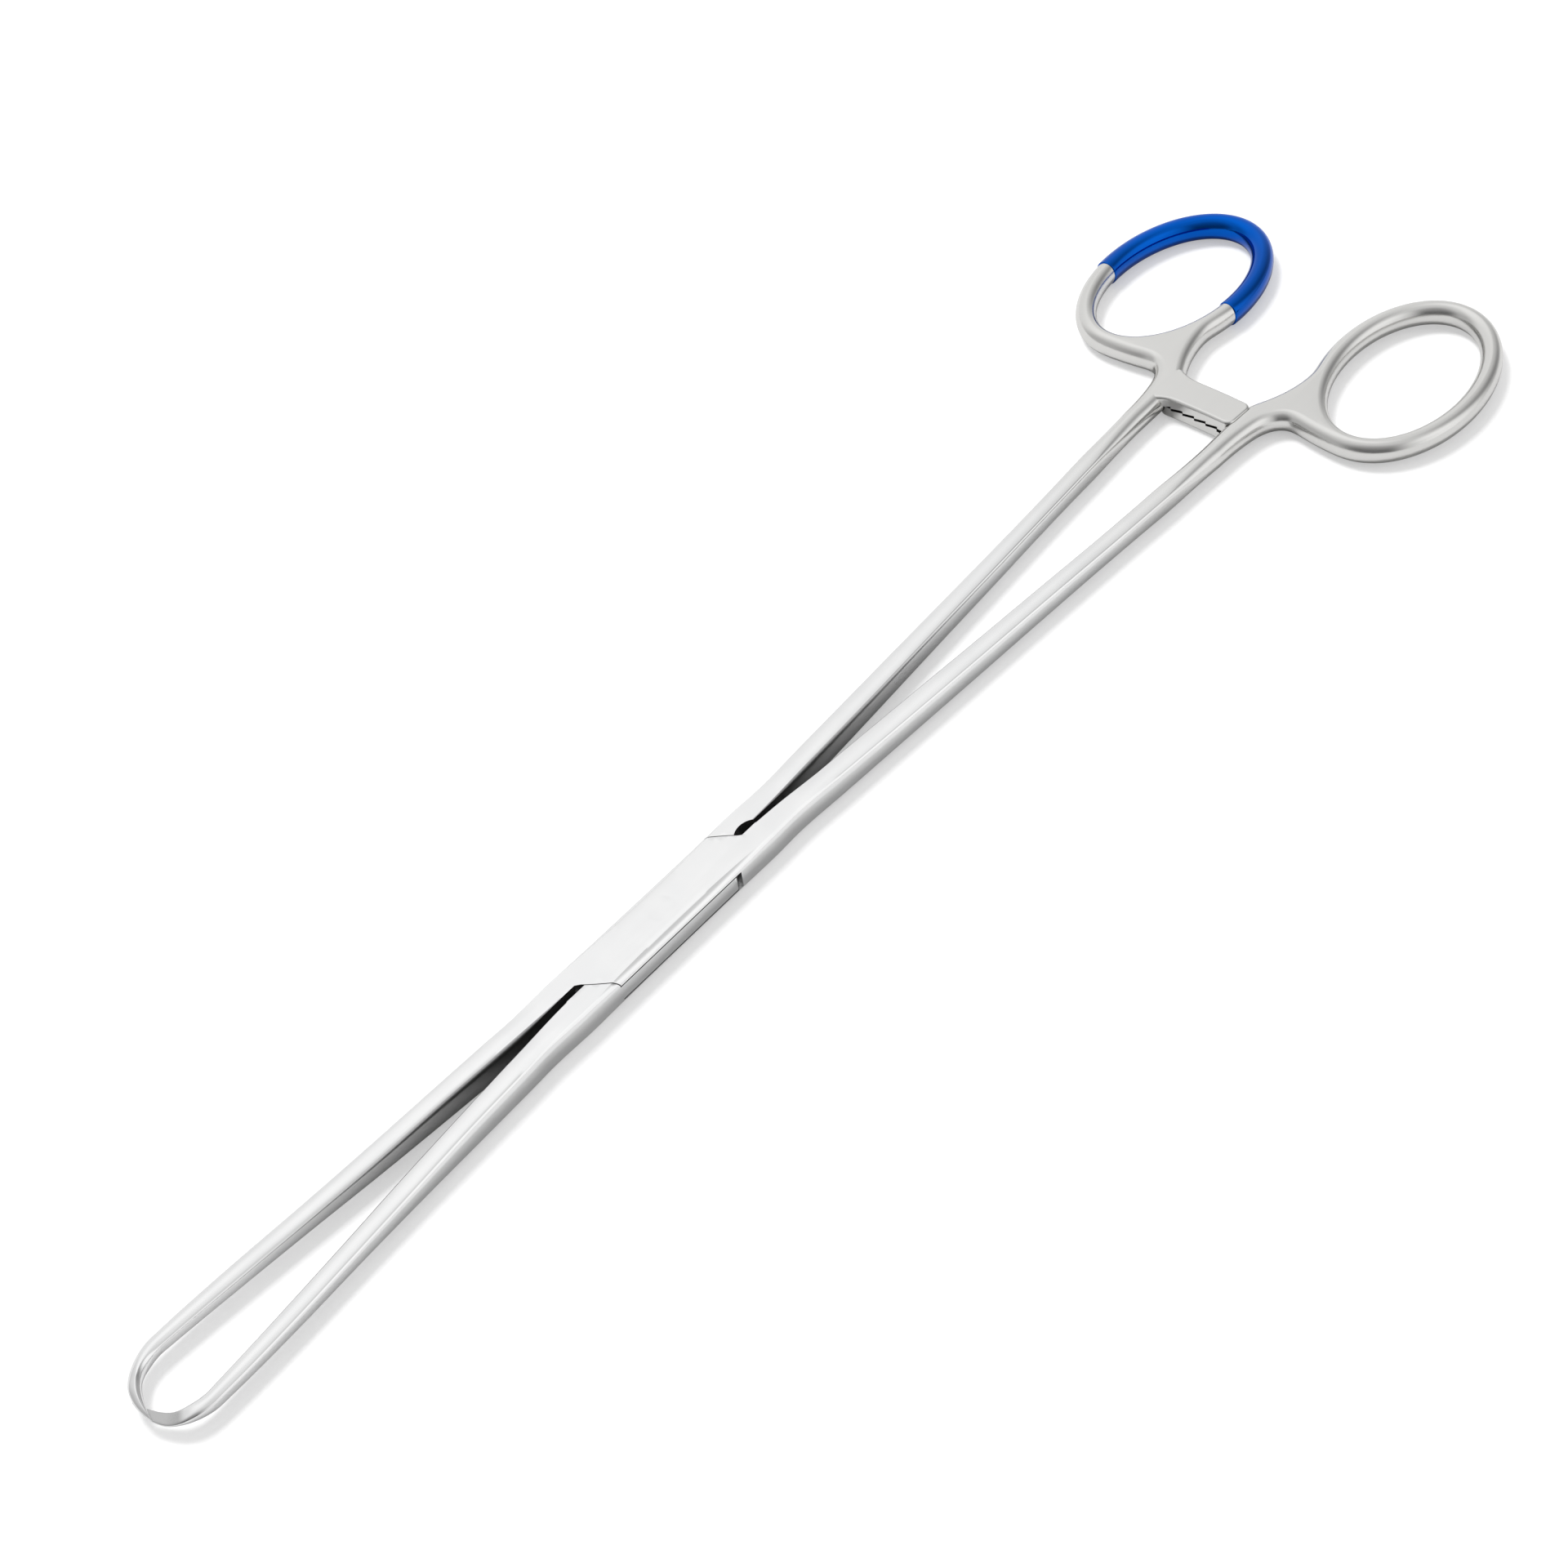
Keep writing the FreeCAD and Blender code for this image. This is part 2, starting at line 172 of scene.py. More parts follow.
def band(below, above, count, closed=True):
    """Faces between two rows of points, each given by the number of its first point."""
    faces = []
    for k in range(count if closed else count - 1):
        n = (k + 1) % count
        faces.append((below + k, below + n, above + n, above + k))
    return faces


def open_loft(rings):
    """Points and faces of a skin over rings of equal point count, capped at its start."""
    count = len(rings[0])
    points = [p for ring in rings for p in ring]
    faces = [tuple(range(count))]
    for row in range(len(rings) - 1):
        faces += band(row * count, (row + 1) * count, count)
    return points, faces


def loft(name, rings):
    """Skin over rings, capped at both ends."""
    points, faces = open_loft(rings)
    faces.append(tuple(range(len(points) - len(rings[0]), len(points))))
    return new_piece(name, points, faces)


def closed_loft(name, rings):
    """Skin over rings that run round and meet themselves."""
    count = len(rings[0])
    points = [p for ring in rings for p in ring]
    faces = []
    for row in range(len(rings)):
        faces += band(row * count, (row + 1) % len(rings) * count, count)
    return new_piece(name, points, faces)


def prism(name, outline, low, high):
    bottom = [(x, y, low) for x, y in outline]
    top = [(x, y, high) for x, y in outline]
    return loft(name, [bottom, top])


def inset(outline, depth):
    """Outline moved inwards by a depth; it runs anticlockwise."""
    moved = []
    count = len(outline)
    for k in range(count):
        before = Vector(outline[k - 1])
        here = Vector(outline[k])
        after = Vector(outline[(k + 1) % count])
        first = (here - before).normalized()
        second = (after - here).normalized()
        left = Vector((-first.y - second.y, first.x + second.x)).normalized()
        slope = max(0.35, left.dot(Vector((-first.y, first.x))))
        moved.append(tuple(here + left * (depth / slope)))
    return moved


def bar_blank(name, outline, low, high, radius, steps=5):
    """Plate with its lower edge rounded."""
    rings = []
    for step in range(steps, -1, -1):
        turn = math.pi / 2 * step / steps
        level = low + radius * (1 - math.sin(turn))
        rings.append([(x, y, level) for x, y in inset(outline, radius * (1 - math.cos(turn)))])
    rings.append([(x, y, high) for x, y in outline])
    return loft(name, rings)


def combine(piece, others, operation):
    """Boolean of a piece with others, which are used up."""
    for other in others:
        step = piece.modifiers.new("combine", "BOOLEAN")
        step.operation = operation
        step.solver = "MANIFOLD"
        step.object = other
        dg = bpy.context.evaluated_depsgraph_get()
        done = bpy.data.meshes.new_from_object(piece.evaluated_get(dg))
        piece.modifiers.clear()
        spent = piece.data
        piece.data = done
        bpy.data.meshes.remove(spent)
        bpy.data.meshes.remove(other.data)
    return piece


def join(piece, *others):
    return combine(piece, others, "UNION")


def cut(piece, *others):
    return combine(piece, others, "DIFFERENCE")


def half_turn(piece, axis):
    """Turned over about X at mid height, or round about the pivot."""
    if axis == "X":
        centre = Matrix.Translation((0, 0, MID * MM))
        piece.data.transform(centre @ Matrix.Rotation(math.pi, 4, "X") @ centre.inverted())
    else:
        piece.data.transform(Matrix.Rotation(math.pi, 4, "Z"))
    return piece


def twin(piece, name):
    other = bpy.data.objects.new(name, piece.data.copy())
    bpy.context.scene.collection.objects.link(other)
    return other


# ---- sections and curves ----

SHOULDER_START = math.radians(48)
BAR_CREST = math.radians(16)
SHOULDER_STEPS = 9
CROWN_STEPS = 6


def section(place, across, inner, outer, half_height, crown=0.0, under=None, start=SHOULDER_START):
    """Bar with crisp crests and a low crown; a side is (half width, shoulder, drop), under two of them."""
    ring = []

    def corner(side, level):
        pair = under if level < 0 and under else (inner, outer)
        return pair[1] if side > 0 else pair[0]

    def crowned(level):
        flat_in = corner(-1, level)[0] - corner(-1, level)[1]
        flat_out = corner(1, level)[0] - corner(1, level)[1]
        dots = []
        for step in range(1, CROWN_STEPS):
            share = step / CROWN_STEPS
            out = -flat_in + (flat_in + flat_out) * share
            lift = half_height + crown * (4 * share * (1 - share) - 1)
            dots.append(place + across * out + Vector((0, 0, level * lift)))
        return dots

    for side, level in ((1, 1), (1, -1), (-1, -1), (-1, 1)):
        half_width, shoulder, drop = corner(side, level)
        quarter = []
        for step in range(SHOULDER_STEPS + 1):
            turn = start + (math.pi / 2 - start) * step / SHOULDER_STEPS
            run = (math.sin(turn) - math.sin(start)) / (1 - math.sin(start))
            fall = (math.cos(start) - math.cos(turn)) / math.cos(start)
            out = half_width - shoulder * (1 - run)
            up = half_height - crown - (drop - crown) * fall
            quarter.append(place + across * (side * out) + Vector((0, 0, level * up)))
        if side * level < 0:
            quarter.reverse()
        if (side, level) == (1, 1):
            ring.extend(crowned(1))
        if (side, level) == (-1, -1):
            ring.extend(reversed(crowned(-1)))
        ring.extend(quarter)
    return ring


def oval(place, across, half_width, half_height, count=28, power=2.15):
    """Round section, a little squarer than an ellipse."""
    ring = []
    for k in range(count):
        turn = 2 * math.pi * k / count
        c, s = math.cos(turn), math.sin(turn)
        x = math.copysign(abs(c) ** (2 / power), c) * half_width
        z = math.copysign(abs(s) ** (2 / power), s) * half_height
        ring.append(place + across * x + Vector((0, 0, z)))
    return ring


def smooth_between(rows, t):
    """Catmull-Rom through rows of (t, value, value, ...)."""
    last = len(rows) - 1
    k = 0
    while k < last - 1 and rows[k + 1][0] < t:
        k += 1
    a, b = rows[k], rows[k + 1]
    before = rows[k - 1] if k > 0 else None
    after = rows[k + 2] if k + 2 <= last else None
    span = b[0] - a[0]
    u = (t - a[0]) / span
    values = []
    for i in range(1, len(a)):
        chord = (b[i] - a[i]) / span
        start = (b[i] - before[i]) / (b[0] - before[0]) if before else chord
        end = (after[i] - a[i]) / (after[0] - a[0]) if after else chord
        h = u * u * (3 - 2 * u)
        values.append(a[i] + (b[i] - a[i]) * h
                      + span * (start * u * (1 - u) ** 2 - end * u * u * (1 - u)))
    return values


def smooth_step(t, start, length):
    """From 0 at the start to 1 over a length."""
    share = min(1.0, max(0.0, (t - start) / length))
    return share * share * (3 - 2 * share)


def bezier(poles, t):
    a, b, c, d = poles
    s = 1 - t
    point = a * s ** 3 + b * (3 * s * s * t) + c * (3 * s * t * t) + d * t ** 3
    slope = (b - a) * (s * s) + (c - b) * (2 * s * t) + (d - c) * (t * t)
    return point, slope.normalized()


def arc_through(a, b, c, steps):
    """Points on the circle through three plan points, from a to c."""
    (ax, ay), (bx, by), (cx, cy) = a, b, c
    aa, bb, cc = ax * ax + ay * ay, bx * bx + by * by, cx * cx + cy * cy
    d = 2 * (ax * (by - cy) + bx * (cy - ay) + cx * (ay - by))
    ux = (aa * (by - cy) + bb * (cy - ay) + cc * (ay - by)) / d
    uy = (aa * (cx - bx) + bb * (ax - cx) + cc * (bx - ax)) / d
    radius = math.hypot(ax - ux, ay - uy)
    start = math.atan2(ay - uy, ax - ux)
    middle = (math.atan2(by - uy, bx - ux) - start) % (2 * math.pi)
    turn = (math.atan2(cy - uy, cx - ux) - start) % (2 * math.pi)
    if middle > turn:
        turn -= 2 * math.pi
    return [(ux + radius * math.cos(start + turn * k / steps),
             uy + radius * math.sin(start + turn * k / steps)) for k in range(steps + 1)]


# ---- bars ----

ACROSS = Vector((0, 1, 0))


def root_row(direction):
    gap = JAW_GAP if direction > 0 else HANDLE_GAP
    return (LOCK_HALF_WIDTH + gap) / 2, LOCK_HALF_WIDTH - gap, 2 * LOCK_HALF_HEIGHT


def bar_rings(direction, stations, end, end_row, count, round_from=2.0):
    """Rings from the lock out to the hook or the neck, on the +Y side, with round edges at the end."""
    rows = [(0.0, *root_row(direction))] + list(stations) + [(1.0, *end_row)]
    rings = []
    for step in range(count + 1):
        t = step / count
        offset, width, height = smooth_between(rows, t)
        ease = smooth_step(t, 0.0, ROOT_EASE)
        outer = (width / 2, LOCK_SHOULDER_END + (BAR_SHOULDER - LOCK_SHOULDER_END) * ease,
                 LOCK_DROP + (height / 4 - LOCK_DROP) * ease)
        inner = (width / 2, INNER_EDGE + (BAR_SHOULDER - INNER_EDGE) * ease,
                 INNER_EDGE + (height / 4 - INNER_EDGE) * ease)
        soft = smooth_step(t, round_from, 1 - round_from) if round_from < 1 else 0.0
        rounded = (width / 2, NECK_EDGE, height / 2 - EDGE_LINE)
        inner, outer = (tuple(a + (b - a) * soft for a, b in zip(side, rounded)) for side in (inner, outer))
        place = Vector((direction * (LOCK_END + t * (end - LOCK_END)), offset, MID))
        rings.append(section(place, ACROSS, inner, outer, height / 2, CROWN * ease * (1 - soft),
                             start=(SHOULDER_START + (BAR_CREST - SHOULDER_START) * ease) * (1 - soft)))
    return rings


def hook_rings(count=28):
    poles = [
        Vector((HOOK_START, HOOK_OFFSET, MID)),
        Vector((HOOK_START + 0.66 * HOOK_LENGTH, HOOK_OFFSET, MID)),
        Vector((HOOK_START + 0.98 * HOOK_LENGTH, 0.5 * HOOK_OFFSET, MID)),
        Vector((HOOK_START + HOOK_LENGTH, -HOOK_CROSS, MID)),
    ]
    rings = []
    for step in range(1, count + 1):
        t = step / count
        place, slope = bezier(poles, t)
        thin = smooth_step(t, THIN_FROM, THIN_LENGTH)
        taper = 1 - (1 - HOOK_POINT / HOOK_WIDTH) * t ** HOOK_TAPER
        inner_level = HOOK_HEIGHT / 2 - (HOOK_HEIGHT + HOOK_CLEARANCE) / 2 * thin
        thick = inner_level + HOOK_HEIGHT / 2
        sharpen = max(0.0, (t - 0.6) / 0.4) ** 1.5
        thick *= 1 - 0.75 * sharpen
        place = place + Vector((0, 0, inner_level - thick / 2))
        half = HOOK_WIDTH / 2 * taper
        top = (half, (BAR_SHOULDER - 0.24 * thin) * taper, thick * (0.25 - 0.13 * thin))
        ground = min(1.0, max(0.0, (t - GROUND_FROM) / GROUND_LENGTH))
        keel = []
        for share in RIDGE_SHARES:
            shoulder = BAR_SHOULDER * taper + (share * half - BAR_SHOULDER * taper) * ground
            keel.append((half, shoulder, thick * (0.25 + 0.5 * ground)))
        across = Vector((-slope.y, slope.x, 0))
        rings.append(section(place, across, top, top, thick / 2, CROWN * taper * (1 - ground), under=keel))
    return rings


def jaw(name):
    """Jaw on the +Y side with the hook that passes below."""
    end_row = (HOOK_OFFSET, HOOK_WIDTH, HOOK_HEIGHT)
    rings = bar_rings(1, JAW_STATIONS, HOOK_START, end_row, 60)
    return loft(name, rings + hook_rings())


# ---- finger ring ----

def ring_centre():
    return RING_FAR - COAT - RING_WALL / 2 - RING_LENGTH / 2


def ring_ring(angle, skin=0.0):
    c, s = math.cos(angle), math.sin(angle)
    spot = Vector((RING_LENGTH / 2 * c, RING_WIDTH / 2 * s, 0))
    out = Vector((c / RING_LENGTH, s / RING_WIDTH, 0)).normalized()
    tilt = Matrix.Rotation(RING_TILT, 3, "Z")
    place = Vector((-ring_centre(), RING_OFFSET, MID)) + tilt @ spot
    return oval(place, tilt @ out, RING_WALL / 2 + skin, HANDLE_HALF - 0.005 + skin)


def dip_coat(name, count=96):
    """Shell of plastic over the far part of the ring, with a rounded lip at each end."""
    start = COAT_FROM_OUTER
    end = 2 * math.pi - COAT_FROM_INNER
    outside = []
    for step in range(8, 0, -1):
        share = step / 8
        outside.append((start - COAT_LIP * share, COAT * math.sqrt(max(0.0, 1 - share * share))))
    for k in range(count + 1):
        outside.append((start + (end - start) * k / count, COAT))
    for step in range(1, 9):
        share = step / 8
        outside.append((end + COAT_LIP * share, COAT * math.sqrt(max(0.0, 1 - share * share))))
    rings = [ring_ring(angle, max(0.01, skin)) for angle, skin in outside]
    rings += [ring_ring(angle, -0.1) for angle, skin in reversed(outside)]
    return closed_loft(name, rings)


# ---- neck and ratchet ----

def ring_edge(angle, beside):
    """Plan point beside the ring's middle line."""
    c, s = math.cos(angle), math.sin(angle)
    out = Vector((c / RING_LENGTH, s / RING_WIDTH)).normalized()
    spot = Vector((RING_LENGTH / 2 * c, RING_WIDTH / 2 * s)) + out * beside
    turned = Matrix.Rotation(RING_TILT, 2) @ spot
    return -ring_centre() + turned.x, RING_OFFSET + turned.y


def evenly(points, gap):
    """The open line through the points, stepped at an even gap."""
    lengths = [0.0]
    for a, b in zip(points, points[1:]):
        lengths.append(lengths[-1] + math.dist(a, b))
    count = int(lengths[-1] / gap)
    line = []
    k = 0
    for step in range(count + 1):
        along = lengths[-1] * step / count
        while k < len(points) - 2 and lengths[k + 1] < along:
            k += 1
        share = (along - lengths[k]) / (lengths[k + 1] - lengths[k])
        line.append(tuple(a + (b - a) * share for a, b in zip(points[k], points[k + 1])))
    return line


def evenly_closed(points, gap):
    return evenly(points + points[:1], gap)[:-1]


def relaxed(line, passes):
    """An open line with its kinks drawn out; the two ends stay."""
    for _ in range(passes):
        trios = zip(line, line[1:], line[2:])
        middle = [tuple((a + 2 * b + c) / 4 for a, b, c in zip(*trio)) for trio in trios]
        line = [line[0]] + middle + [line[-1]]
    return line


def bow_outline():
    """Outside of the neck and the ring, as one line."""
    rear = NECK_FRONT + NECK_LENGTH
    low = (-rear, NECK_INNER)
    sag = (-rear - NECK_SAG[0], NECK_INNER + NECK_SAG[1])
    toe = ring_edge(math.radians(RING_TOE), RING_WALL / 2)
    face = ring_edge(math.radians(RING_FACE), RING_WALL / 2)
    throat = (-rear - NECK_THROAT[0], NECK_OUTER + NECK_THROAT[1])
    brow = (-rear + NECK_BROW[0], NECK_OUTER + NECK_BROW[1])
    shoulder = (-NECK_FRONT, NECK_OUTER)
    points = [(-NECK_FRONT, NECK_INNER)]
    points += arc_through(low, sag, toe, 20)
    for angle in range(RING_TOE - 2, RING_FACE, -2):
        points.append(ring_edge(math.radians(angle), RING_WALL / 2))
    points += arc_through(face, (face[0] - 0.35, (face[1] + throat[1]) / 2), throat, 12)
    points += arc_through(throat, ((throat[0] + brow[0]) / 2 + 0.2, throat[1] - 1.6), brow, 8)[1:]
    points += arc_through(brow, (-NECK_FRONT - 4.5, NECK_OUTER + 0.25), shoulder, 10)[1:]
    return relaxed(evenly(points, LINE_STEP), 24)[::-1]


def inset_open(line, depth):
    """An open line moved inwards; its ends move straight across."""
    inner = inset(line, depth)
    inner[0] = (line[0][0], line[0][1] - depth)
    inner[-1] = (line[-1][0], line[-1][1] + depth)
    return inner


def round_edge_rows():
    """Inset and height of each row of the neck's edge, from its flat top to its flat underside."""
    quarter = []
    for step in range(SHOULDER_STEPS + 1):
        turn = math.pi / 2 * step / SHOULDER_STEPS
        lift = HANDLE_HALF - (HANDLE_HALF - EDGE_LINE) * (1 - math.cos(turn))
        quarter.append((NECK_EDGE * (1 - math.sin(turn)), lift))
    return quarter + [(depth, -lift) for depth, lift in quarter[::-1]]


def forged_handle(name):
    """Shank, neck and finger ring as one skin, round edged from the neck on."""
    end_row = ((NECK_INNER + NECK_OUTER) / 2, NECK_OUTER - NECK_INNER, 2 * HANDLE_HALF)
    rings = bar_rings(-1, SHANK_STATIONS, NECK_FRONT, end_row, 80, round_from=ROUND_FROM)
    count = len(rings[0])
    points, faces = open_loft(rings)
    front = len(points) - count
    outline = bow_outline()
    hole = [ring_edge(-math.radians(angle), -RING_WALL / 2) for angle in range(0, 360, 2)]
    starts = []
    for depth, lift in round_edge_rows():
        starts.append(len(points))
        points += [(x, y, MID + lift) for x, y in inset_open(outline, depth) + inset(hole, depth)]
    size = len(outline)
    for below, above in zip(starts, starts[1:]):
        faces += band(below, above, size, closed=False) + band(below + size, above + size, len(hole))
    for start, first in ((starts[0], front), (starts[-1], front + count // 2)):
        row = sorted(range(first, first + CROWN_STEPS - 1), key=lambda k: points[k][1])
        rim = list(range(start, start + size)) + row
        hollow = list(range(start + size, start + size + len(hole)))
        around = rim + hollow
        filled = tessellate_polygon([[Vector(points[k]) for k in rim], [Vector(points[k]) for k in hollow]])
        faces += [tuple(around[k] for k in corner) for corner in filled]
    return new_piece(name, points, faces)


def sector_outline(inner_radius, outer_radius, from_y, to_y, corner):
    """Plan of a bar about the pivot, its to_y or from_y end with round corners."""
    mean = (inner_radius + outer_radius) / 2
    first, last = math.asin(from_y / mean), math.asin(to_y / mean)
    points = []
    steps = 14
    for k in range(steps + 1):
        turn = first + (last - first) * k / steps
        points.append((-outer_radius * math.cos(turn), outer_radius * math.sin(turn)))
    for k in range(steps, -1, -1):
        turn = first + (last - first) * k / steps
        points.append((-inner_radius * math.cos(turn), inner_radius * math.sin(turn)))
    if corner:
        points = round_corners(points, corner)
    area = sum(a[0] * b[1] - b[0] * a[1] for a, b in zip(points, points[1:] + points[:1]))
    return points if area > 0 else points[::-1]


def round_corners(points, radius):
    done = []
    count = len(points)
    for k in range(count):
        before, here, after = Vector(points[k - 1]), Vector(points[k]), Vector(points[(k + 1) % count])
        first, second = (here - before).normalized(), (after - here).normalized()
        if first.dot(second) > 0.5:
            near_corner = False
            for other in range(count):
                a, b, c = (Vector(points[n % count]) for n in (other - 1, other, other + 1))
                if (b - a).normalized().dot((c - b).normalized()) < 0.5 and (b - here).length < radius:
                    near_corner = True
            if not near_corner:
                done.append(tuple(here))
            continue
        start, end = here - first * radius, here + second * radius
        centre = start + end - here
        a0 = math.atan2(start.y - centre.y, start.x - centre.x)
        a1 = math.atan2(end.y - centre.y, end.x - centre.x)
        turn = (a1 - a0 + math.pi) % (2 * math.pi) - math.pi
        for step in range(9):
            angle = a0 + turn * step / 8
            done.append((centre.x + radius * math.cos(angle), centre.y + radius * math.sin(angle)))
    return done


def ratchet_bar(name):
    inner = RATCHET_RADIUS - RATCHET_WIDTH / 2
    outer = RATCHET_RADIUS + RATCHET_WIDTH / 2
    outline = sector_outline(inner, outer, -RATCHET_REACH, NECK_INNER + 2.1, RATCHET_CORNER)
    flared = []
    for x, y in outline:
        beyond = max(0.0, y - NECK_INNER + FLARE_LENGTH) / FLARE_LENGTH
        radius = math.hypot(x, y)
        beside = (radius - RATCHET_RADIUS) / (RATCHET_WIDTH / 2)
        spread = 1 + RATCHET_FLARE * beside * beyond ** 2.2 / radius
        flared.append((x * spread, y * spread))
    crest = MID - RATCHET_GAP / 2
    bar = bar_blank(name, evenly_closed(flared, 0.4), MID - HANDLE_HALF, crest, RATCHET_EDGE)
    for number in range(TOOTH_FIRST, TOOTH_LAST + 1):
        place = number * TOOTH_PITCH
        far = RATCHET_RADIUS + RATCHET_WIDTH
        near = RATCHET_RADIUS - RATCHET_WIDTH
        ramp = TOOTH_RAMP * TOOTH_PITCH
        above = 0.1
        profile = ((-0.02, crest + above), (0.0, crest - TOOTH_DEPTH),
                   (ramp * (1 + above / TOOTH_DEPTH), crest + above))
        gullet = loft("gullet", [[(-far, y, z) for y, z in profile], [(-near, y, z) for y, z in profile]])
        gullet.data.transform(Matrix.Rotation(-place / RATCHET_RADIUS, 4, "Z"))
        cut(bar, gullet)
    return bar


def ratchet_pocket(name):
    inner = RATCHET_RADIUS - RATCHET_WIDTH / 2 - POCKET_CLEARANCE
    outer = RATCHET_RADIUS + RATCHET_WIDTH / 2 + POCKET_CLEARANCE
    outline = sector_outline(inner, outer, NECK_INNER - 3, RATCHET_REACH + POCKET_CLEARANCE, RATCHET_CORNER)
    return prism(name, outline, MID - RATCHET_GAP / 2, MID + HANDLE_HALF + 1)


def handle(name):
    """Shank, neck, ratchet bar and ring of the +Y half."""
    body = join(forged_handle(name), ratchet_bar("bar"))
    return cut(body, ratchet_pocket("pocket"))


# ---- lock ----

def lock_block(name):
    rings = []
    count = 48
    for step in range(count + 1):
        x = LOCK_END * (2 * step / count - 1)
        bow = min(1.0, abs(x) / 16)
        shoulder = LOCK_SHOULDER_MIDDLE + (LOCK_SHOULDER_END - LOCK_SHOULDER_MIDDLE) * bow * bow
        side = (LOCK_HALF_WIDTH, shoulder, 1.0)
        rings.append(section(Vector((x, 0, MID)), ACROSS, side, side, LOCK_HALF_HEIGHT))
    return loft(name, rings)


def past_seam(name, clearance, inner_end, wall, turned):
    """Everything beyond the curved seam on the +Y side of the jaw end."""
    reach = LOCK_END + 6
    slope = (SEAM_REACH - SEAM_MIDDLE[0]) / SEAM_MIDDLE[1]
    end = (SEAM_MIDDLE[0] + slope * (SEAM_MIDDLE[1] - inner_end) + clearance, inner_end)
    start = (SEAM_START + clearance, LOCK_HALF_WIDTH + 0.4)
    points = arc_through(start, (SEAM_MIDDLE[0] + clearance, SEAM_MIDDLE[1]), end, 24)
    if abs(wall - inner_end) > 1e-6:
        points.append((end[0] + abs(wall - inner_end) * 1.2, wall))
    points += [(reach, wall), (reach, LOCK_HALF_WIDTH + 3), (start[0], LOCK_HALF_WIDTH + 3)]
    piece = prism(name, points, -1, 2 * MID + 1)
    return half_turn(piece, "Z") if turned else piece


def box_lock(name):
    """The female half's box: two plates with the slot between them."""
    body = lock_block(name)
    cut(body, past_seam("jaw_seam", 0.0, 0.0, -JAW_GAP, False),
        past_seam("handle_seam", 0.0, 0.0, -HANDLE_GAP, True))
    beyond = LOCK_HALF_WIDTH + OVERCUT
    reach = SEAM_REACH + OVERCUT
    points = []
    for turn, gap in ((1, JAW_GAP), (-1, HANDLE_GAP)):
        run = (reach - SLOT_CORNER) / (LOCK_HALF_WIDTH - gap)
        points.append((turn * (SLOT_CORNER - OVERCUT * run), -turn * beyond))
        points.append((turn * reach, -turn * gap))
        points.append((turn * reach, turn * beyond))
    return cut(body, prism("slot", points, MID - SLOT_HALF, MID + SLOT_HALF))


def lock_tongue(name):
    """The male half's tongue and the parts of the lock beyond the seams."""
    beyond = LOCK_HALF_WIDTH + OVERCUT
    inner = SEAM_REACH - TONGUE_SETBACK
    points = []
    for turn, gap in ((1, JAW_GAP), (-1, HANDLE_GAP)):
        run = (inner - TONGUE_CORNER) / (LOCK_HALF_WIDTH + gap)
        points.append((turn * (TONGUE_CORNER - OVERCUT * run), -turn * beyond))
        points.append((turn * inner, turn * gap))
        points.append((turn * (SEAM_REACH + 1), turn * gap))
        points.append((turn * (SEAM_REACH + 1), turn * beyond))
    keep = prism(name, points, MID - TONGUE_HALF, MID + TONGUE_HALF)
    join(keep, past_seam("jaw_end", SEAM_CLEARANCE, JAW_GAP, JAW_GAP, False),
         past_seam("handle_end", SEAM_CLEARANCE, HANDLE_GAP, HANDLE_GAP, True))
    return combine(keep, [lock_block("block")], "INTERSECT")


def shank_relief(name):
    """Hollow filed into the male shank's inner edge where it meets the box."""
    start = (-RELIEF_START, -HANDLE_GAP)
    end = (-RELIEF_START - RELIEF_LENGTH, -HANDLE_GAP)
    deepest = ((start[0] + end[0]) / 2, -RELIEF_DEPTH)
    points = arc_through(start, deepest, end, 24) + [(end[0], 0.0), (start[0], 0.0)]
    return prism(name, points[::-1], -1, 2 * MID + 1)


def circle(radius, level, count=96):
    return [(radius * math.cos(2 * math.pi * k / count), radius * math.sin(2 * math.pi * k / count), level)
            for k in range(count)]


def rivet(name, proud=0.0):
    top = 2 * MID
    rings = [
        circle(RIVET_HEAD_RADIUS, 0),
        circle(RIVET_RADIUS, RIVET_HEAD_DEPTH),
        circle(RIVET_RADIUS, top - RIVET_HEAD_DEPTH),
        circle(RIVET_HEAD_RADIUS, top),
    ]
    if proud:
        rings = [circle(RIVET_HEAD_RADIUS, -proud)] + rings + [circle(RIVET_HEAD_RADIUS, top + proud)]
    return loft(name, rings)


# ---- the two halves ----

SHARP_EDGE = math.radians(55)
CREASE = math.radians(26)


def ease_edges(piece, width, chosen):
    """Breaks the sharp edges that a test picks out."""
    form = bmesh.new()
    form.from_mesh(piece.data)
    bmesh.ops.remove_doubles(form, verts=form.verts, dist=1e-6)
    edges = []
    for edge in form.edges:
        if len(edge.link_faces) == 2 and edge.calc_face_angle(0) > SHARP_EDGE:
            middle = (edge.verts[0].co + edge.verts[1].co) / (2 * MM)
            if chosen(middle):
                edges.append(edge)
    bmesh.ops.bevel(form, geom=edges, offset=width * MM, segments=2, profile=0.5, affect="EDGES",
                    clamp_overlap=True)
    form.to_mesh(piece.data)
    form.free()


def in_lock(spot):
    return abs(spot.x) < 17.5 and spot.xy.length > RIVET_HEAD_RADIUS + 0.3


